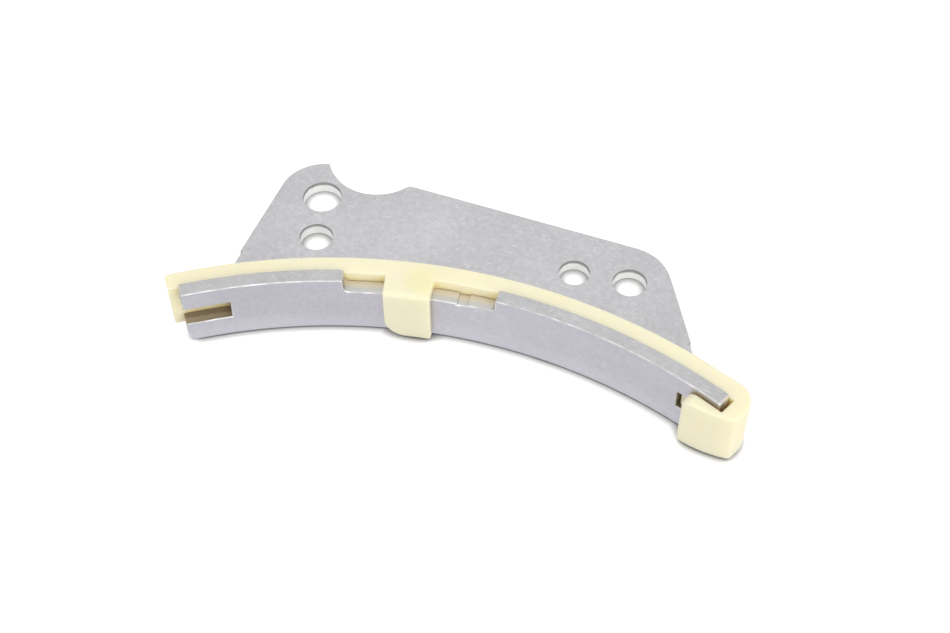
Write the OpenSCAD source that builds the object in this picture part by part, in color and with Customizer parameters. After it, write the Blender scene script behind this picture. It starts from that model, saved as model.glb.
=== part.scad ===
// Timing chain guide: a stamped steel bracket that carries a moulded wear shoe.
// Origin at the left bolt hole's axis on the plate's underside, +X towards the right bolt hole,
// +Y away from the flange, +Z up off the mounting face. Millimetres.

/* [Sheet] */
// Thickness of the steel sheet
sheet_t = 3; // [2:0.1:4]
// Outside radius of the bend at the flange's foot
bend_outer_r = 1.5; // [0.5:0.1:2.5]
// Inside radius of the bend, between plate and flange
bend_inner_r = 1; // [0.5:0.1:2]

/* [Wear arc] */
// Radius of the wear face that the chain runs on
wear_radius = 117; // [100:1:140]
// Where the wear face's crown lies along X
crown_x = 52; // [48:0.5:56]
// How far the crown lies below the line through the two bolt holes
crown_drop = 15.7; // [14:0.1:20]

/* [Holes] */
// Distance between the two bolt holes
bolt_pitch = 68.5; // [64:0.5:74]
// Diameter of the left bolt hole
left_bolt_d = 8.2; // [6:0.1:10]
// Diameter of the right bolt hole
right_bolt_d = 7; // [5:0.1:9]
// Distance from the wear face to the arc that both locating holes lie on
locator_offset = 14.4; // [12:0.1:16]
// Where the left locating hole lies along X
left_locator_x = 3.2; // [1:0.1:8]
// Diameter of the left locating hole
left_locator_d = 7; // [5:0.1:8]
// Where the right locating hole lies along X
right_locator_x = 57; // [52:0.5:58]
// Diameter of the right locating hole
right_locator_d = 6.4; // [5:0.1:8]

/* [Plate outline] */
// Radius of the ear round the left bolt hole
ear_r = 9.5; // [8:0.1:12]
// Lean of the left edge from the Y direction, in degrees
left_lean = 2; // [0:0.5:8]
// Height of the top edge above the line through the bolt holes
top_edge_y = 9.25; // [7:0.25:12]
// Radius of the plate's right corner
corner_r = 10; // [7:0.5:13]
// How far the right corner's centre lies inboard of the right bolt hole
corner_inset = 1.3; // [0:0.1:3]
// Lean of the right edge from the Y direction, in degrees
right_lean = 30; // [24:1:36]
// Centre of the round bite in the top edge, along X
bite_x = 7; // [6:0.5:9]
// Centre of the round bite, along Y
bite_y = 14.5; // [13.5:0.5:16]
// Radius of the round bite
bite_r = 10.6; // [9:0.1:11]
// Rounding of the lip between the bite and the top edge
lip_r = 1.5; // [0.5:0.1:3]
// Depth of the blanking step in each side edge
step_depth = 0.4; // [0.1:0.1:1]
// How far down the left edge its step lies
left_step_run = 20; // [14:0.5:24]
// How far down the right edge its step lies
right_step_run = 17; // [12:0.5:22]

/* [Flange] */
// Height of the flange above the plate's underside
flange_h = 15; // [13:0.5:20]
// Length of the flange from the crown to its left end, along the arc
flange_left = 68; // [66:0.5:76]
// Length of the flange from the crown to its right end, along the arc
flange_right = 44.4; // [44:0.1:52]
// Distance from the crown to the middle of the top notch, towards the left end
notch_mid = 20.3; // [14:0.1:28]
// Width of the top notch
notch_w = 30.7; // [24:0.1:36]
// Depth of the top notch
notch_depth = 3.4; // [2.5:0.1:4.5]
// Rounding of the notch's lower corners
notch_corner_r = 1.2; // [0.5:0.1:2]
// Rounding of the flange's upper corners
tab_corner_r = 0.7; // [0.3:0.1:1.2]
// Width of the tool nick in the notch's floor
nick_w = 2.1; // [1:0.1:3]
// Depth of the tool nick
nick_depth = 0.45; // [0.2:0.05:0.7]
// Distance from the notch's middle to the nick, towards the right end
nick_shift = 8.6; // [5:0.1:9]
// Depth of the open slot in each end of the flange
slot_depth = 9.4; // [8.5:0.1:11]
// Width of the end slots
slot_w = 4.6; // [4:0.1:5.5]
// Height of the end slots' middle above the plate's underside
slot_mid_z = 8; // [7.5:0.1:9]
// Rounding of the flange's lower end corners
foot_corner_r = 4; // [2:0.1:5]

/* [Shoe] */
// Thickness of the shoe's wear strip
shoe_wall = 4; // [3:0.1:6]
// How far the shoe's top lies below the flange's top
shoe_drop = 1; // [0.5:0.1:1.5]
// How far the shoe runs past the flange's left end
shoe_overhang = 2.1; // [1:0.1:4]
// Rounding of the shoe's long edges
edge_r = 0.8; // [0.3:0.1:1.5]
// Fitting gap between the shoe and the flange
shoe_fit = 0.1; // [0.05:0.05:0.3]

/* [Clip] */
// Width of the clip that saddles the notch
clip_w = 9.6; // [7:0.1:13]
// Distance from the notch's middle to the clip's middle, towards the left end
clip_shift = 2.5; // [0:0.1:4]
// Thickness of the clip's front leg
leg_t = 1.8; // [1.4:0.1:3]
// Height of the leg's and the end block's lower edge above the plate's underside
leg_lift = 0.8; // [0.4:0.1:1.5]
// Rounding of the leg's lower left corner
leg_corner_r = 4.5; // [2:0.1:6]
// Rounding of the clip's upper front edge
clip_brow_r = 1; // [0.5:0.1:1.5]

/* [End block] */
// Length of the block's front wall along the flange
block_cover = 6.8; // [5:0.1:9]
// Distance from the flange's front face to the block's front, at the block's left end
block_front = 3.2; // [2.8:0.1:4.5]
// Radius of the block's bowed front
block_bow_r = 25; // [22:1:40]
// Gap between the flange's front face and the block's front wall
pocket_gap = 0.35; // [0.1:0.05:0.6]
// Gap between the flange's right end and the end wall
end_gap = 0.8; // [0.3:0.1:1.5]
// Thickness of the end wall
end_wall = 3.4; // [2.5:0.1:5]
// Rounding of the block's back corner
back_corner_r = 4.5; // [2:0.1:5]
// Rounding of the block's front corners
front_corner_r = 1; // [0.5:0.1:1.2]
// Rounding of the front wall's upper left corner
wall_corner_r = 2; // [1:0.1:3]
// Clearance of the lug in the flange's right slot
lug_fit = 0.2; // [0.1:0.05:0.4]
// How far the lug's front lies behind the flange's front face
lug_recess = 0.8; // [0.4:0.1:1.5]

/* [Hidden] */
$fn = 96;
// Spare length that takes every cut past the faces it opens
cut = 1;
flange_back_r = wear_radius - shoe_wall - shoe_fit;
flange_front_r = flange_back_r - sheet_t;
flange_mid_r = (flange_front_r + flange_back_r) / 2;
arc_centre = [crown_x, -crown_drop - wear_radius];
cut_deg = arc_deg(cut);
// Roundings are drawn this much larger, so that they cross the faces they end on and don't graze them
run_out = 1.005;
left_end = -arc_deg(flange_left);
right_end = arc_deg(flange_right);
notch_a = -arc_deg(notch_mid);
notch_floor = flange_h - notch_depth;
slot_z = slot_mid_z - slot_w / 2;
shoe_top = flange_h - shoe_drop;
strip_r = flange_back_r + shoe_fit;
shoe_left = left_end - arc_deg(shoe_overhang);
pocket_end = right_end + arc_deg(end_gap);
shoe_right = pocket_end + arc_deg(end_wall);
clip_a = notch_a - arc_deg(clip_shift);
leg_back_r = flange_front_r - shoe_fit;
leg_front_r = leg_back_r - leg_t;
block_left = right_end - arc_deg(block_cover);
block_front_r = flange_front_r - block_front;
corner_centre = [bolt_pitch - corner_inset, top_edge_y - corner_r];
left_down = [-sin(left_lean), -cos(left_lean)];
left_out = [-cos(left_lean), sin(left_lean)];
right_down = [sin(right_lean), -cos(right_lean)];
right_out = [cos(right_lean), sin(right_lean)];
left_tangent = ear_r * left_out;
right_tangent = corner_centre + corner_r * right_out;
left_foot = left_tangent + reach(left_tangent, left_down) * left_down;
right_foot = right_tangent + reach(right_tangent, right_down) * right_down;

// Degrees that a length spans on the flange's middle surface
function arc_deg(length) = length / flange_mid_r * 180 / PI;

// Distance from a point, along a direction, to the flange's middle surface
function reach(from, direction) =
    let (w = from - arc_centre, b = w * direction, c = w * w - flange_mid_r ^ 2)
    -b - sqrt(b ^ 2 - c);

// Point on the arc, concentric with the wear face, that both locating holes lie on
function locator(x) =
    [x, arc_centre.y + sqrt((wear_radius + locator_offset) ^ 2 - (x - crown_x) ^ 2)];

// Centre of a rounding that touches the line x = 0 and, on the given side, a circle
function rounding_centre(centre, r, q, side) =
    [-q, centre.y + side * sqrt((r - q) ^ 2 - (q + centre.x) ^ 2)];

// Moves what is drawn about the wear arc's centre to its place
module about_arc() {
    translate([arc_centre.x, arc_centre.y, 0]) children();
}

// Sweeps a profile of radius and height between two angles, counted clockwise from +Y
module sector(from, to) {
    rotate(90 - to) rotate_extrude(angle = to - from) children();
}

// Rectangle between two opposite corners
module box2(low, high) {
    translate(low) square(high - low);
}

// What has to come off a square corner at the origin of the first quadrant to round it
module corner_waste(q) {
    difference() {
        translate([-cut, -cut]) square(q + cut);
        translate([q, q]) circle(q * run_out);
    }
}

// Corner waste that stands on the arc, its axis along the radius and X along the arc
module radial_waste(angle, z, q, x_side, z_side, r_low, r_high) {
    rotate(-angle) translate([0, r_high, z]) rotate([90, 0, 0])
        linear_extrude(r_high - r_low) to_sides(x_side, z_side) corner_waste(q);
}

// Turns a first quadrant shape to the sides named by the signs of x and y
module to_sides(x_side, y_side) {
    mirror([x_side < 0 ? 1 : 0, 0]) mirror([0, y_side < 0 ? 1 : 0]) children();
}

// Waste that rounds the corner between the line x = 0, material on its left, and a circle
module end_waste(centre, r, q, side) {
    m = rounding_centre(centre, r, q, side);
    far = centre + (m - centre) * (r + cut) / (r - q);
    difference() {
        polygon([m, [cut, m.y], [cut, far.y], far]);
        translate(m) circle(q * run_out);
    }
}

// Thin strip that sets an edge back from a point on it, down to the flange
module step_waste(start, down, out, run) {
    top = start + run * down;
    foot = start + (reach(start, down) + cut) * down;
    polygon([
        top - step_depth * out,
        top + cut * out,
        foot + cut * out,
        foot - step_depth * out,
    ]);
}

module plate_outline() {
    lip = [
        bite_x + sqrt((bite_r + lip_r) ^ 2 - (top_edge_y - lip_r - bite_y) ^ 2),
        top_edge_y - lip_r,
    ];
    bite = [bite_x, bite_y];
    lip_start = bite + (lip - bite) * bite_r / (bite_r + lip_r);
    difference() {
        union() {
            polygon([
                left_foot,
                left_tangent,
                [0, 0],
                [0, top_edge_y],
                [corner_centre.x, top_edge_y],
                corner_centre,
                right_tangent,
                right_foot,
            ]);
            circle(ear_r);
            translate(corner_centre) circle(corner_r);
        }
        translate(bite) circle(bite_r);
        difference() {
            polygon([
                lip,
                lip_start,
                [lip_start.x, top_edge_y + cut],
                [lip.x, top_edge_y + cut],
            ]);
            translate(lip) circle(lip_r * run_out);
        }
        step_waste(left_tangent, left_down, left_out, left_step_run);
        step_waste(right_tangent, right_down, right_out, right_step_run);
        translate(arc_centre) circle(flange_mid_r);
    }
}

module flange_profile() {
    difference() {
        box2([flange_front_r, 0], [flange_back_r, flange_h]);
        translate([flange_front_r, 0]) corner_waste(bend_outer_r);
    }
}

module bend_fillet_profile() {
    difference() {
        box2(
            [flange_mid_r, sheet_t / 2],
            [flange_back_r + bend_inner_r, sheet_t + bend_inner_r]
        );
        translate([flange_back_r + bend_inner_r, sheet_t + bend_inner_r]) circle(bend_inner_r);
    }
}

// Cuts that go through the flange from front to back
module flange_gap(from, to, low, high) {
    sector(from, to) box2([flange_front_r - cut, low], [flange_back_r + cut, high]);
}

// Corner waste through the flange's whole thickness
module flange_corner(angle, z, q, x_side, z_side) {
    radial_waste(angle, z, q, x_side, z_side, flange_front_r - cut, flange_back_r + cut);
}

// Wide shallow notch in the top edge, which the shoe's clip saddles, and the tool nick in its floor
module notch() {
    from = notch_a - arc_deg(notch_w / 2);
    to = notch_a + arc_deg(notch_w / 2);
    nick_a = notch_a + arc_deg(nick_shift);
    difference() {
        flange_gap(from, to, notch_floor, flange_h + cut);
        flange_corner(from, notch_floor, notch_corner_r, 1, 1);
        flange_corner(to, notch_floor, notch_corner_r, -1, 1);
    }
    flange_corner(from, flange_h, tab_corner_r, -1, -1);
    flange_corner(to, flange_h, tab_corner_r, 1, -1);
    flange_gap(
        nick_a - arc_deg(nick_w / 2), nick_a + arc_deg(nick_w / 2),
        notch_floor - nick_depth, flange_h
    );
}

module flange() {
    slot_deg = arc_deg(slot_depth);
    difference() {
        sector(left_end, right_end) flange_profile();
        notch();
        flange_gap(left_end - cut_deg, left_end + slot_deg, slot_z, slot_z + slot_w);
        flange_gap(right_end - slot_deg, right_end + cut_deg, slot_z, slot_z + slot_w);
        flange_corner(left_end, 0, foot_corner_r, 1, 1);
        flange_corner(right_end, 0, foot_corner_r, -1, 1);
        flange_corner(left_end, flange_h, tab_corner_r, 1, -1);
        flange_corner(right_end, flange_h, tab_corner_r, -1, -1);
    }
}

module through_hole(at, d) {
    translate([at.x, at.y, -cut]) cylinder(d = d, h = sheet_t + 2 * cut);
}

module steel_bracket() {
    color([0.78, 0.78, 0.8]) difference() {
        union() {
            linear_extrude(sheet_t) plate_outline();
            about_arc() flange();
            intersection() {
                about_arc() sector(left_end, right_end) bend_fillet_profile();
                linear_extrude(flange_h) plate_outline();
            }
        }
        through_hole([0, 0], left_bolt_d);
        through_hole([bolt_pitch, 0], right_bolt_d);
        through_hole(locator(left_locator_x), left_locator_d);
        through_hole(locator(right_locator_x), right_locator_d);
    }
}

// Rounding of the wear face's long edges, above or below
module wear_edge_waste(z, z_side) {
    translate([wear_radius, z]) to_sides(-1, z_side) corner_waste(edge_r);
}

// Radial section of the end block, from its front to the wear face
module shoe_section() {
    difference() {
        box2([block_front_r - cut, leg_lift], [wear_radius, shoe_top]);
        wear_edge_waste(shoe_top, -1);
        wear_edge_waste(leg_lift, 1);
    }
}

// What comes off that section where the strip stands on the plate
module plate_clearance() {
    box2([flange_mid_r, leg_lift - cut], [wear_radius + cut, sheet_t]);
    wear_edge_waste(sheet_t, 1);
}

// Relief over the bend's inside radius
module bend_relief() {
    relief = bend_inner_r + shoe_fit;
    polygon([
        [strip_r - cut, sheet_t - cut],
        [strip_r + relief + cut, sheet_t - cut],
        [strip_r - cut, sheet_t + relief + cut],
    ]);
}

// Plan of everything between two angles about the arc's centre
module wedge(from, to) {
    far = 2 * wear_radius;
    polygon([
        [0, 0],
        far * [sin(from), cos(from)],
        far * [sin((from + to) / 2), cos((from + to) / 2)],
        far * [sin(to), cos(to)],
    ]);
}

// Centre of the bow of the block's front, in a frame turned to the given angle
function bow_centre(angle) =
    (block_front_r + block_bow_r) * [sin(block_left - angle), cos(block_left - angle)];

// Plan of the strip and, at its right end, the walls of the pocket that the flange sits in
module shoe_plan() {
    difference() {
        intersection() {
            wedge(shoe_left, shoe_right);
            circle(wear_radius + cut);
        }
        difference() {
            wedge(shoe_left - cut_deg, pocket_end);
            difference() {
                wedge(shoe_left - 2 * cut_deg, pocket_end + cut_deg);
                circle(strip_r);
            }
            intersection() {
                wedge(block_left, pocket_end + cut_deg);
                circle(flange_front_r - pocket_gap);
            }
        }
        difference() {
            circle(flange_mid_r);
            rotate(-block_left) translate([0, block_front_r + block_bow_r]) circle(block_bow_r);
        }
        rotate(-shoe_right) end_waste([0, 0], wear_radius, back_corner_r, 1);
        rotate(-shoe_right) end_waste(bow_centre(shoe_right), block_bow_r, front_corner_r, -1);
        rotate(-block_left) mirror([1, 0])
            end_waste(bow_centre(block_left), block_bow_r, front_corner_r, -1);
    }
}

module strip_and_pocket() {
    difference() {
        intersection() {
            linear_extrude(flange_h) shoe_plan();
            sector(shoe_left - cut_deg, shoe_right + cut_deg) shoe_section();
        }
        sector(shoe_left - cut_deg, right_end) plate_clearance();
        sector(left_end, right_end) bend_relief();
        radial_waste(
            block_left, shoe_top, wall_corner_r, 1, -1, block_front_r - cut, flange_front_r
        );
    }
}

// Saddle over the notch, with a leg down the flange's front face
module clip() {
    from = clip_a - arc_deg(clip_w / 2);
    to = clip_a + arc_deg(clip_w / 2);
    difference() {
        sector(from, to) difference() {
            union() {
                box2([leg_front_r, leg_lift], [leg_back_r, shoe_top]);
                box2([leg_front_r, notch_floor + shoe_fit], [strip_r + shoe_wall / 2, shoe_top]);
            }
            translate([leg_front_r, shoe_top]) to_sides(1, -1) corner_waste(clip_brow_r);
        }
        radial_waste(from, leg_lift, leg_corner_r, 1, 1, leg_front_r - cut, flange_front_r);
    }
}

// Lug of the end wall that slides into the flange's right slot
module lug() {
    from = right_end - arc_deg(slot_depth - 2 * lug_fit);
    sector(from, pocket_end + arc_deg(end_wall / 2)) box2(
        [flange_front_r + lug_recess, slot_z + lug_fit],
        [strip_r + shoe_wall / 2, slot_z + slot_w - lug_fit]
    );
}

module wear_shoe() {
    color([0.95, 0.92, 0.78]) about_arc() {
        strip_and_pocket();
        clip();
        lug();
    }
}

steel_bracket();
wear_shoe();
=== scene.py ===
# Timing chain guide: a stamped steel bracket and the moulded shoe that clips on its flange
import math

import bmesh
import bpy
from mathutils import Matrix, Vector


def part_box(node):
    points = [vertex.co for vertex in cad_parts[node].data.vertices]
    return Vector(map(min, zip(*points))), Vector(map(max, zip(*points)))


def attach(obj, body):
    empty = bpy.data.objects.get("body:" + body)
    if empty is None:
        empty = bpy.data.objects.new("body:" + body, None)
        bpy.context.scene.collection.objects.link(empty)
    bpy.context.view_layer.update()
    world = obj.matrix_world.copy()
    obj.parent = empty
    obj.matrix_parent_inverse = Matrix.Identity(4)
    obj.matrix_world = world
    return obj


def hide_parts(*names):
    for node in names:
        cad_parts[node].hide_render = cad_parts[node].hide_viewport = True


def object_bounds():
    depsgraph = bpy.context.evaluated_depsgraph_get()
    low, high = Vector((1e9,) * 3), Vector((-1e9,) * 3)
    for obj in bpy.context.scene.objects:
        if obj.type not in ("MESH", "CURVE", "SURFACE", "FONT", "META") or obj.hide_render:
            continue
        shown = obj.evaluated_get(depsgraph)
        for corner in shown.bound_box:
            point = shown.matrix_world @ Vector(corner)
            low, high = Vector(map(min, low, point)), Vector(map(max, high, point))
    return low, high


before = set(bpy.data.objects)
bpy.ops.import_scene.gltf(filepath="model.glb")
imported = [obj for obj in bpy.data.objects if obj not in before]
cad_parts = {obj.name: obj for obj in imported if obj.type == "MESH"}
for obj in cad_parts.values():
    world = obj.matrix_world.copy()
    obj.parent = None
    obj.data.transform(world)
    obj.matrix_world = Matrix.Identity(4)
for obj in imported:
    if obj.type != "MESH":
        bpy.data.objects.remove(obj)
cad_low, cad_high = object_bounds()
MM = 0.001


# Steel bracket
# One 3 mm sheet, blanked to outline, pierced with four holes and bent up along an arc into a flange.
# The rolled faces are dull and scuffed from the tumbler, the cut walls half burnished and half torn.

wear_radius = 117 * MM
crown_x = 52 * MM
sheet_t = 3 * MM
shoe_wall = 4 * MM
shoe_fit = 0.1 * MM
flange_h = 15 * MM
bend_r = 1 * MM
foot_r = 1.5 * MM
crisp_foot_r = 0.9 * MM
foot_corner = 4.2 * MM
flange_back_r = wear_radius - shoe_wall - shoe_fit
flange_front_r = flange_back_r - sheet_t
hole_centres = [Vector((x, y, 0)) * MM for x, y in ((0, 0), (3.2, -10.7), (57, -1.4), (68.5, 0))]
hole_reach = 4.3 * MM
# Where the plate's faces are cut: the first cut passes through both left holes
through_holes_x = (1.6 * MM, 57 * MM, 68.5 * MM)
arc_centre = Vector((crown_x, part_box("wear_shoe")[1].y - wear_radius, 0))
flange_turns = range(-34, 23)
slot_top = 9 * MM
die_roll = 0.32 * MM
broken_edge = 0.13 * MM
sharp = math.radians(50)
near = 0.1 * MM
weld = 0.001 * MM
cut_slack = 0.01 * MM


def lay_straight(point):
    """The arc laid out flat: distance along it becomes X, radius becomes Y."""
    out = point - arc_centre
    return Vector((math.atan2(out.x, out.y) * wear_radius, math.hypot(out.x, out.y), out.z))


def roll_back(point):
    turn = point.x / wear_radius
    return arc_centre + Vector((math.sin(turn) * point.y, math.cos(turn) * point.y, point.z))


def arc_radius(point):
    return lay_straight(point).y


def move_points(piece, new_place):
    shape = bmesh.from_edit_mesh(piece.data)
    for point in shape.verts:
        point.co = new_place(point.co)
    shape.normal_update()
    bmesh.update_edit_mesh(piece.data)


def select_faces(piece, wanted):
    bpy.ops.mesh.select_mode(type="FACE")
    bpy.ops.mesh.select_all(action="DESELECT")
    shape = bmesh.from_edit_mesh(piece.data)
    for face in shape.faces:
        if wanted(face):
            face.select_set(True)
    bmesh.update_edit_mesh(piece.data)


def copy_of_node(node, name):
    """A closed copy of a solid's mesh, left in edit mode."""
    piece = bpy.data.objects.new(name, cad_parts[node].data.copy())
    bpy.context.collection.objects.link(piece)
    bpy.ops.object.select_all(action="DESELECT")
    piece.select_set(True)
    bpy.context.view_layer.objects.active = piece
    piece.data.materials.clear()
    bpy.ops.object.mode_set(mode="EDIT")
    bpy.ops.mesh.select_all(action="SELECT")
    bpy.ops.mesh.remove_doubles(threshold=weld)
    bpy.ops.mesh.customdata_custom_splitnormals_clear()
    return piece


def join_flats(piece, wanted):
    """Joins the picked faces that are flat while the arc is laid straight, apart from seams."""
    bpy.ops.mesh.select_all(action="SELECT")
    bpy.ops.mesh.remove_doubles(threshold=weld)
    bpy.ops.mesh.dissolve_degenerate(threshold=weld)
    select_faces(piece, wanted)
    bpy.ops.mesh.dissolve_limited(angle_limit=math.radians(1), delimit={"SEAM"})


def cut_and_roll(piece, turns):
    """Cuts the curved faces at each of these degrees, clear of their corners, and rolls all back."""
    corner_room = 0.7 * MM
    for turn in turns:
        place = math.radians(turn) * wear_radius

        def to_cut(face):
            gaps = [abs(point.co.x - place) for point in face.verts]
            follows_arc = abs(face.normal.x) < 0.005 and abs(face.normal.z) < 0.9999
            return follows_arc and min(gaps) > corner_room

        select_faces(piece, to_cut)
        bpy.ops.mesh.bisect(plane_co=(place, 0, 0), plane_no=(1, 0, 0), threshold=cut_slack)
    move_points(piece, roll_back)


def round_edges(piece, width, segments, wanted):
    """Bevels the sharp edges whose middle the test picks."""
    bpy.ops.mesh.select_mode(type="EDGE")
    bpy.ops.mesh.select_all(action="DESELECT")
    shape = bmesh.from_edit_mesh(piece.data)
    for edge in shape.edges:
        middle = (edge.verts[0].co + edge.verts[1].co) / 2
        if edge.calc_face_angle(0) > sharp and wanted(middle):
            edge.select_set(True)
    bmesh.update_edit_mesh(piece.data)
    bpy.ops.mesh.bevel(offset=width, segments=segments, profile=0.5, affect="EDGES", clamp_overlap=False)


def even_shading(piece):
    """Smooth, with the big faces deciding, so that flats stay flat up to their rounded edges."""
    bpy.ops.object.mode_set(mode="OBJECT")
    bpy.ops.object.shade_smooth_by_angle(angle=sharp)
    bpy.ops.object.modifier_add(type="WEIGHTED_NORMAL")
    piece.modifiers[-1].keep_sharp = True
    bpy.ops.object.modifier_apply(modifier=piece.modifiers[-1].name)


def off_the_bend(face):
    """Not on the round under the flange's foot, nor on the one between its back and the plate."""
    radius, height = face.calc_center_median().yz
    under_foot = radius < flange_front_r + foot_r and height < foot_r
    inside = flange_back_r < radius < flange_back_r + bend_r and sheet_t < height < sheet_t + bend_r
    return not (under_foot or inside)


def crisp_foot(point):
    """Draws the round under the flange's foot in, as tight as the real bend is there."""
    along, radius, height = point
    out = radius - flange_front_r
    reach = foot_r + cut_slack
    if out < reach and height < reach:
        radius = flange_front_r + out * crisp_foot_r / foot_r
        height = height * crisp_foot_r / foot_r
    return Vector((along, radius, height))


def on_die_roll(middle):
    """The front edges of the tabs, notch and slots, and the top edges of the tab ends."""
    radius = arc_radius(middle)
    along_front = abs(radius - flange_front_r) < near
    across_top = middle.z > flange_h - near and radius < flange_back_r - near
    return middle.z > foot_corner and (along_front or across_top)


def clear_of_bend(middle):
    """Any edge but those of the bend, which stays as it is."""
    return middle.z > foot_corner or arc_radius(middle) > flange_back_r + 1.5 * bend_r


bracket = copy_of_node("steel_bracket", "bracket")
for hole_x in through_holes_x:
    select_faces(bracket, lambda face: abs(face.normal.z) > 0.999)
    bpy.ops.mesh.bisect(plane_co=(hole_x, 0, 0), plane_no=(1, 0, 0), threshold=cut_slack)
    bpy.ops.mesh.mark_seam()
move_points(bracket, lay_straight)
join_flats(bracket, off_the_bend)
move_points(bracket, crisp_foot)
cut_and_roll(bracket, flange_turns)
round_edges(bracket, die_roll, segments=4, wanted=on_die_roll)
round_edges(bracket, broken_edge, segments=2, wanted=clear_of_bend)
even_shading(bracket)


class Wire:
    """An output socket of a material's nodes. Arithmetic on it adds Math nodes."""

    def __init__(self, tree, socket=None):
        self.tree = tree
        self.socket = socket

    def node(self, kind, settings=None, inputs=None, output=0):
        made = self.tree.nodes.new(kind)
        for name, value in (settings or {}).items():
            setattr(made, name, value)
        for name, value in (inputs or {}).items():
            if isinstance(value, Wire):
                self.tree.links.new(value.socket, made.inputs[name])
            else:
                made.inputs[name].default_value = value
        return Wire(self.tree, made.outputs[output] if len(made.outputs) else None)

    def maths(self, operation, *values):
        return self.node("ShaderNodeMath", {"operation": operation}, dict(enumerate(values)))

    def __add__(self, other):
        return self.maths("ADD", self, other)

    __radd__ = __add__

    def __sub__(self, other):
        return self.maths("SUBTRACT", self, other)

    def __rsub__(self, other):
        return self.maths("SUBTRACT", other, self)

    def __mul__(self, other):
        return self.maths("MULTIPLY", self, other)

    __rmul__ = __mul__

    def __truediv__(self, other):
        return self.maths("DIVIDE", self, other)

    def ramp(self, low, high):
        """0 below low, 1 above high, smooth between them."""
        inputs = {"Value": self, "From Min": low, "From Max": high}
        return self.node("ShaderNodeMapRange", {"interpolation_type": "SMOOTHSTEP"}, inputs)

    def mix(self, none, full):
        """The first colour where this is 0, the second where it is 1."""
        inputs = {0: self, 6: none, 7: full}
        return self.node("ShaderNodeMix", {"data_type": "RGBA"}, inputs, output=2)


def grey(level, tint=(1, 1, 1)):
    return (level * tint[0], level * tint[1], level * tint[2], 1)


def new_material(name):
    """A material with no nodes yet, and where each point of the piece lies."""
    material = bpy.data.materials.new(name)
    material.use_nodes = True
    material.node_tree.nodes.clear()
    place = Wire(material.node_tree).node("ShaderNodeTexCoord", output="Object")
    return material, place


def finish_material(place, sockets):
    """Adds the surface shader with these sockets, and the output."""
    shader = place.node("ShaderNodeBsdfPrincipled", None, sockets)
    place.node("ShaderNodeOutputMaterial", None, {"Surface": shader})


def noise(place, scale, detail=2.0, roughness=0.5):
    inputs = {"Vector": place, "Scale": scale, "Detail": detail, "Roughness": roughness}
    return place.node("ShaderNodeTexNoise", None, inputs)


def bump(place, height, strength, depth):
    inputs = {"Height": height, "Strength": strength, "Distance": depth}
    return place.node("ShaderNodeBump", None, inputs)


def height_of(place):
    return place.node("ShaderNodeSeparateXYZ", None, {"Vector": place}, output="Z")


def depth_in_flange(place):
    """0 at the flange's front face, 1 at its back."""
    out = place.node("ShaderNodeVectorMath", {"operation": "SUBTRACT"}, {0: place, 1: arc_centre})
    level = place.node("ShaderNodeVectorMath", {"operation": "MULTIPLY"}, {0: out, 1: (1, 1, 0)})
    radius = place.node("ShaderNodeVectorMath", {"operation": "LENGTH"}, {0: level}, output="Value")
    return (radius - flange_front_r) / sheet_t


def scratches(place, turn, shift):
    """Fine short lines that run one way over the sheet, a few at a time."""
    inputs = {"Vector": place, "Location": shift, "Rotation": (0, 0, turn), "Scale": (300, 3600, 300)}
    stretched = place.node("ShaderNodeMapping", None, inputs)
    moved = place.node("ShaderNodeMapping", None, {"Vector": place, "Location": shift})
    patches = noise(moved, 160, 1.0).ramp(0.5, 0.62)
    return noise(stretched, 1.0, 1.0).ramp(0.67, 0.73) * patches


bare_iron = grey(0.57)


def rolled_steel(name, dark, light, tint, scuffs, floor_sheen_and_draw_lines=0.0):
    """Mottled sheet, scuffed over, and where that is asked for, lightened towards its foot by a painted
    sheen, with level draw lines across it.
    """
    material, place = new_material(name)
    mottle = noise(place, 900, 3.0, 0.7)
    cloud = noise(place, 60, 3.0)
    specks = noise(place, 2100, 1.0).ramp(0.62, 0.72)
    lines = scratches(place, 0.5, (1, 2, 3)) + scratches(place, -0.4, (4, 5, 6))
    lines = lines + scratches(place, 1.3, (7, 8, 9))
    tone = mottle * 0.6 + cloud * 0.4 + (specks * 0.2 + lines * 0.6) * scuffs
    level_lines = {"Vector": place, "Scale": (25, 25, 1600)}
    drawn = noise(place.node("ShaderNodeMapping", None, level_lines), 1.0, 2.0)
    # Painted sheen: lighter towards the foot, as if lit by the white floor, plus level draw lines.
    tone = tone + (1 - height_of(place).ramp(1 * MM, 7 * MM) + drawn - 0.5) * floor_sheen_and_draw_lines
    relief = mottle * 0.7 - lines * 0.5 * scuffs
    finish_material(place, {
        "Base Color": tone.ramp(0.2, 1.0).mix(grey(dark, tint), grey(light, tint)),
        "Metallic": 0.85,
        "Specular Tint": bare_iron,
        "Roughness": 0.55 - mottle * 0.15,
        "Normal": bump(place, relief, 0.3 * scuffs, 0.03 * MM),
    })
    return material


def sheared_steel(name, depth_from, burnish, tear):
    """A wall that the punch smeared smooth where it came in, and tore below that."""
    material, place = new_material(name)
    ragged = noise(place, 700, 2.0) * 0.3
    torn = (depth_from(place) + ragged).ramp(0.55, 0.75)
    grain = noise(place, 2600, 2.0)
    finish_material(place, {
        "Base Color": torn.mix(burnish, tear),
        "Metallic": 0.8,
        "Specular Tint": bare_iron,
        "Roughness": 0.42 + torn * 0.25,
        "Normal": bump(place, grain * torn, 0.5, 0.06 * MM),
    })
    return material


def worn_and_highlit_steel():
    """Edges that the tumbler rubbed, made bright by a painted highlight."""
    material, place = new_material("worn_and_highlit_steel")
    rub = noise(place, 330, 3.0, 0.6)
    finish_material(place, {
        "Base Color": rub.ramp(0.3, 0.7).mix(grey(0.5), grey(0.86)),
        "Metallic": 0.9,
        "Specular Tint": bare_iron,
        "Roughness": 0.4 - rub * 0.1,
    })
    return material


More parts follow.
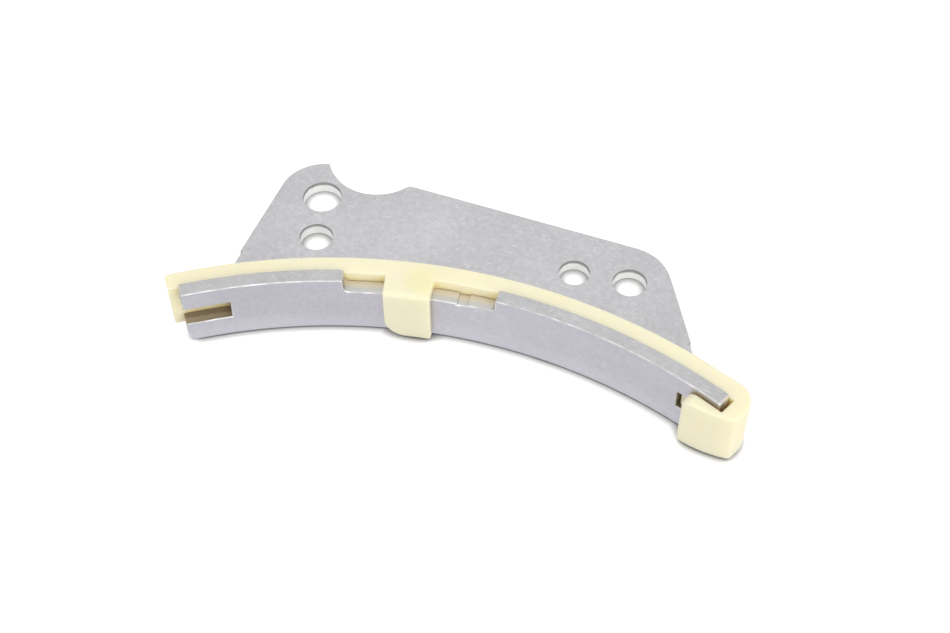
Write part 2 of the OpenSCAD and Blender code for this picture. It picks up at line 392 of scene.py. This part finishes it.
def give_faces(piece, material, wanted):
    """Gives the material to the faces that the test picks."""
    piece.data.materials.append(material)
    bpy.ops.object.mode_set(mode="EDIT")
    select_faces(piece, wanted)
    piece.active_material_index = len(piece.data.materials) - 1
    bpy.ops.object.material_slot_assign()
    bpy.ops.object.mode_set(mode="OBJECT")


def on_flange_face(face):
    """The front and back of the flange and the bend below them, without the tab tops."""
    middle = face.calc_center_median()
    return arc_radius(middle) < flange_back_r + bend_r and middle.z < flange_h - near


def on_highlit_worn_edge(face):
    """The upper half of the round that the die drew along the front of the tabs and the notch, where a
    painted highlight falls.
    """
    middle = face.calc_center_median()
    radius = arc_radius(middle)
    out = (middle - arc_centre).normalized()
    slanted = 0.2 < abs(face.normal.dot(out)) < 0.98
    # Only the upward-facing part of the round is picked, where the painted highlight falls.
    on_upper_half = face.normal.z > 0.45 or abs(face.normal.z) < 0.1
    at_front = radius < flange_front_r + die_roll and middle.z > sheet_t + bend_r
    return slanted and on_upper_half and at_front


def on_flange_wall(face):
    """The cut walls through the flange: notch, slots, tab ends."""
    middle = face.calc_center_median()
    radius = arc_radius(middle)
    out = (middle - arc_centre).normalized()
    crosswise = abs(face.normal.dot(out)) < 0.5
    between = flange_front_r + near < radius < flange_back_r - near
    return between and crosswise and sheet_t < middle.z < flange_h - near


def on_tab_top(face):
    return face.calc_center_median().z > flange_h - near / 2


def on_slot_wall(face):
    """The walls of the slots at the flange's ends, painted dark brown for the shade deep inside the
    slots.
    """
    return on_flange_wall(face) and face.calc_center_median().z < slot_top


def on_plate_wall(face):
    """The cut edge all round the plate, holes too."""
    middle = face.calc_center_median()
    return abs(face.normal.z) < 0.5 and middle.z < sheet_t and not on_flange_face(face)


def on_hole_wall(face):
    """The walls of the four holes, whose lower band is painted near white as the white floor under them
    would light it.
    """
    middle = face.calc_center_median()
    gaps = [(middle - hole).xy.length for hole in hole_centres]
    return on_plate_wall(face) and min(gaps) < hole_reach


def depth_in_plate(place):
    """0 at the plate's top, 1 at its underside."""
    return 1 - height_of(place) / sheet_t


def depth_in_hole(place):
    """The same, but with the painted near-white band starting from higher up."""
    return 1.2 - height_of(place) / sheet_t


plate_steel = rolled_steel("plate_steel", dark=0.47, light=0.66, tint=(1, 0.99, 1.02), scuffs=1.0)
# The flange's copy is lighter and bluer than the plate's: a painted reflection of the bright room and
# floor on its upright faces.
flange_steel = rolled_steel(
    "flange_steel", dark=0.55, light=0.67, tint=(0.985, 0.97, 1.06), scuffs=0.3, floor_sheen_and_draw_lines=0.25
)
tab_steel = rolled_steel("tab_steel", dark=0.43, light=0.61, tint=(1, 0.99, 1.01), scuffs=0.8)
# The torn band of the flange's cut walls is beige, partly of itself and partly as a painted reflection
# of the ivory shoe beside it.
tear_with_nylon_reflection = (0.7, 0.64, 0.54, 1)
# Painted shade: the slots' walls are darkened to brown, as the flange above keeps light out of them.
slot_shade_burnish = (0.42, 0.37, 0.3, 1)
slot_shade_tear = (0.3, 0.25, 0.18, 1)
flange_wall = sheared_steel("flange_wall", depth_in_flange, burnish=grey(0.54), tear=tear_with_nylon_reflection)
slot_wall = sheared_steel("slot_wall", depth_in_flange, burnish=slot_shade_burnish, tear=slot_shade_tear)
plate_wall = sheared_steel("plate_wall", depth_in_plate, burnish=grey(0.36), tear=grey(0.58))
# Painted light: the torn lower band of the hole walls is near white, a painted glow of the white floor
# under the holes.
hole_wall = sheared_steel("hole_wall", depth_in_hole, burnish=grey(0.32), tear=grey(0.96))
bracket.data.materials.append(plate_steel)
give_faces(bracket, flange_steel, on_flange_face)
give_faces(bracket, flange_wall, on_flange_wall)
give_faces(bracket, slot_wall, on_slot_wall)
give_faces(bracket, tab_steel, on_tab_top)
give_faces(bracket, worn_and_highlit_steel(), on_highlit_worn_edge)
give_faces(bracket, plate_wall, on_plate_wall)
give_faces(bracket, hole_wall, on_hole_wall)
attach(bracket, "root")
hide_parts("steel_bracket")


# Wear shoe
# One nylon moulding that the chain rubs on: a curved strip, a clip over the flange's notch and an end
# pocket. It snaps on by the clip's spring. Its edges are soft, as a mould leaves them.

mould_edge = 0.4 * MM
edge_r = 0.8 * MM
shoe_top = 14 * MM
shoe_foot = 0.8 * MM
shoe_seat = sheet_t
back_corner_r = 4.5 * MM
shoe_turns = range(-36, 22)
block_left = math.radians(19.34) * wear_radius
shoe_right = math.radians(25) * wear_radius
rounded_to = math.radians(22) * wear_radius
clip_middle = math.radians(-10.5) * wear_radius
clip_root_r = 112.5 * MM
clip_root = roll_back(Vector((clip_middle, clip_root_r, shoe_top)))
groove_top = 1.5 * sheet_t
groove_wall = 2 * MM
wall_corner = 3 * MM
wall_back = 3.5 * MM
wall_slack = 1 * MM
corner_start = shoe_right - math.asin(back_corner_r / (wear_radius - back_corner_r)) * wear_radius


def in_the_open(middle):
    """Away from the groove for the bracket's bend, the back corner and the front wall's round corner."""
    along, radius, height = lay_straight(middle)
    in_groove = height < groove_top and flange_front_r < radius < wear_radius - groove_wall
    at_back = along > rounded_to and radius > wear_radius - shoe_wall
    near_wall = block_left - wall_slack < along < block_left + wall_back
    at_front = radius < flange_front_r - wall_slack
    at_wall_corner = near_wall and at_front and height > shoe_top - wall_corner
    return not (in_groove or at_back or at_wall_corner)


def outline_radius(along):
    """How far out the shoe's outline lies: on the wear face, then round the back corner."""
    past = (along - corner_start) / wear_radius
    if past <= 0:
        return wear_radius
    middle_r = wear_radius - back_corner_r
    across = middle_r * math.sin(past)
    return middle_r * math.cos(past) + math.sqrt(max(back_corner_r ** 2 - across ** 2, 0))


def square_up(point):
    """Takes a point on the rounded long edges back to the sharp corner, to be rounded afresh."""
    along, radius, height = point
    reach = 1.1 * edge_r
    if radius > wear_radius - reach:
        for corner, side in ((shoe_top, -1), (shoe_foot, 1), (shoe_seat, 1)):
            on_edge = -2 * cut_slack < (height - corner) * side < reach
            if on_edge and (corner != shoe_foot or along < rounded_to):
                height = corner
                radius = outline_radius(along)
    return Vector((along, radius, height))


shoe = copy_of_node("wear_shoe", "shoe")
move_points(shoe, lay_straight)
move_points(shoe, square_up)
join_flats(shoe, lambda face: True)
select_faces(shoe, lambda face: True)
bpy.ops.mesh.bisect(plane_co=(rounded_to, 0, 0), plane_no=(1, 0, 0), threshold=cut_slack)
cut_and_roll(shoe, shoe_turns)
round_edges(shoe, mould_edge, segments=3, wanted=in_the_open)
even_shading(shoe)


def open_air(place, reach):
    """1 in the open, less in a recess or beside a wall within reach."""
    return place.node("ShaderNodeAmbientOcclusion", {"samples": 8}, {"Distance": reach}, output="AO")


def ivory_nylon():
    """Pale in thin walls, deeper in the clip's thick root, and darker and yellower in crevices as
    painted shade.
    """
    ivory = (0.88, 0.815, 0.57, 1)
    milky_ivory = (0.905, 0.85, 0.63, 1)
    root_ivory = (0.885, 0.825, 0.51, 1)
    crevice_shade_ivory = (0.88, 0.75, 0.35, 1)
    material, place = new_material("ivory_nylon")
    cloud = noise(place, 60, 2.0)
    grain = noise(place, 2500, 2.0)
    ends = {0: place, 1: clip_root}
    from_root = place.node("ShaderNodeVectorMath", {"operation": "DISTANCE"}, ends, output="Value")
    pale = cloud.ramp(0.2, 0.8).mix(ivory, milky_ivory)
    nylon = from_root.ramp(1 * MM, 5 * MM).mix(root_ivory, pale)
    finish_material(place, {
        # Painted shade: crevices and corners, found by how enclosed they are, turn a darker, deeper
        # yellow.
        "Base Color": open_air(place, 3 * MM).ramp(0.2, 0.8).mix(crevice_shade_ivory, nylon),
        "Roughness": 0.42 + grain * 0.1,
        "Specular IOR Level": 0.8,
        "Subsurface Weight": 0.6,
        "Subsurface Radius": (1.0, 0.8, 0.4),
        "Subsurface Scale": 3.5 * MM,
        "Normal": bump(place, grain, 0.1, 0.02 * MM),
    })
    return material


shoe.data.materials.append(ivory_nylon())
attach(shoe, "root")
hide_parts("wear_shoe")


# Table and light
# A white paper sweep, so bright that only the shadows close under the part show on it; these are partly
# real shading and partly painted shadow.
# The light is soft: a white room and four softboxes, of which the low ones are slightly warm.

floor_size = 4.0
contact_reach = 3 * MM
paper_white = grey(0.8)
painted_shadow_grey = grey(0.15)
paper_glow = 0.6
mirrored_shadow_level = 0.85
room_light = 0.78


def seen_in_a_piece(wire):
    """1 for a ray that a piece reflects or lets through, or else 0."""
    reflected = wire.node("ShaderNodeLightPath", output="Is Glossy Ray")
    let_through = wire.node("ShaderNodeLightPath", output="Is Transmission Ray")
    return wire.maths("MAXIMUM", reflected, let_through)


bpy.ops.mesh.primitive_plane_add(size=floor_size, location=(crown_x, 0, 0))
floor = bpy.context.object
floor.name = "floor"
material, place = new_material("white_sweep")
seen = place.node("ShaderNodeLightPath", output="Is Camera Ray")
mirrored = seen_in_a_piece(place)
# Painted shadow: the paper darkens in colour, glow and reflection where the part closes it in.
painted_contact_shadow = open_air(place, contact_reach).ramp(0.2, 0.95)
paper = place.node("ShaderNodeBsdfDiffuse", None, {"Color": painted_contact_shadow.mix(painted_shadow_grey, paper_white)})
glow_level = seen * painted_contact_shadow * paper_glow
glow = place.node("ShaderNodeEmission", None, {"Color": grey(1), "Strength": glow_level})
both = place.node("ShaderNodeAddShader", None, {0: paper, 1: glow})
mirrored_level = mirrored_shadow_level + painted_contact_shadow * (1 - mirrored_shadow_level)
white = place.node("ShaderNodeEmission", None, {"Color": grey(1), "Strength": mirrored_level})
sweep = place.node("ShaderNodeMixShader", None, {"Fac": mirrored, 1: both, 2: white})
place.node("ShaderNodeOutputMaterial", None, {"Surface": sweep})
floor.data.materials.append(material)

world = bpy.data.worlds.new("studio")
world.use_nodes = True
world.node_tree.nodes.clear()
sky = Wire(world.node_tree)
in_sight = seen_in_a_piece(sky) + sky.node("ShaderNodeLightPath", output="Is Camera Ray")
brightness = room_light + in_sight * (1 - room_light)
walls = sky.node("ShaderNodeBackground", None, {"Color": grey(1), "Strength": brightness})
sky.node("ShaderNodeOutputWorld", None, {"Surface": walls})
bpy.context.scene.world = world

middle = (cad_low + cad_high) / 2


def softbox(name, place, size, power, colour):
    """A square lamp that faces the part."""
    lamp = bpy.data.lights.new(name, "AREA")
    lamp.size = size
    lamp.energy = power
    lamp.color = colour
    holder = bpy.data.objects.new(name, lamp)
    holder.location = place
    holder.rotation_euler = (middle - Vector(place)).to_track_quat("-Z", "Y").to_euler()
    bpy.context.collection.objects.link(holder)


warm = (1, 0.955, 0.9)
softbox("overhead", (middle.x - 0.1, middle.y + 0.05, 0.7), size=0.6, power=0.6, colour=(1, 1, 1))
softbox("front", (middle.x + 0.36, middle.y - 0.48, 0.4), size=0.4, power=0.9, colour=warm)
softbox("right", (middle.x + 0.55, middle.y - 0.2, 0.3), size=0.4, power=0.85, colour=warm)
softbox("left", (middle.x - 0.5, middle.y - 0.25, 0.3), size=0.4, power=0.3, colour=warm)


# Camera
# At the photograph's angle, a short telephoto lens about a third of a metre from the part.

turn = math.radians(20.28)
lift = math.radians(52.83)
roll = math.radians(-0.24)
away = 344.06 * MM
aim = Vector((40.87, -16.93, 0)) * MM
back = Vector((math.sin(turn) * math.cos(lift), -math.cos(turn) * math.cos(lift), math.sin(lift)))
camera = bpy.data.objects.new("camera", bpy.data.cameras.new("camera"))
camera.data.lens = 63.83
camera.data.sensor_width = 36
camera.data.clip_start = 0.01
camera.location = aim + away * back
camera.rotation_euler = (-back).to_track_quat("-Z", "Y").to_euler()
camera.rotation_euler.rotate_axis("Z", roll)
bpy.context.collection.objects.link(camera)
bpy.context.scene.camera = camera
bpy.context.scene.view_settings.view_transform = "Standard"
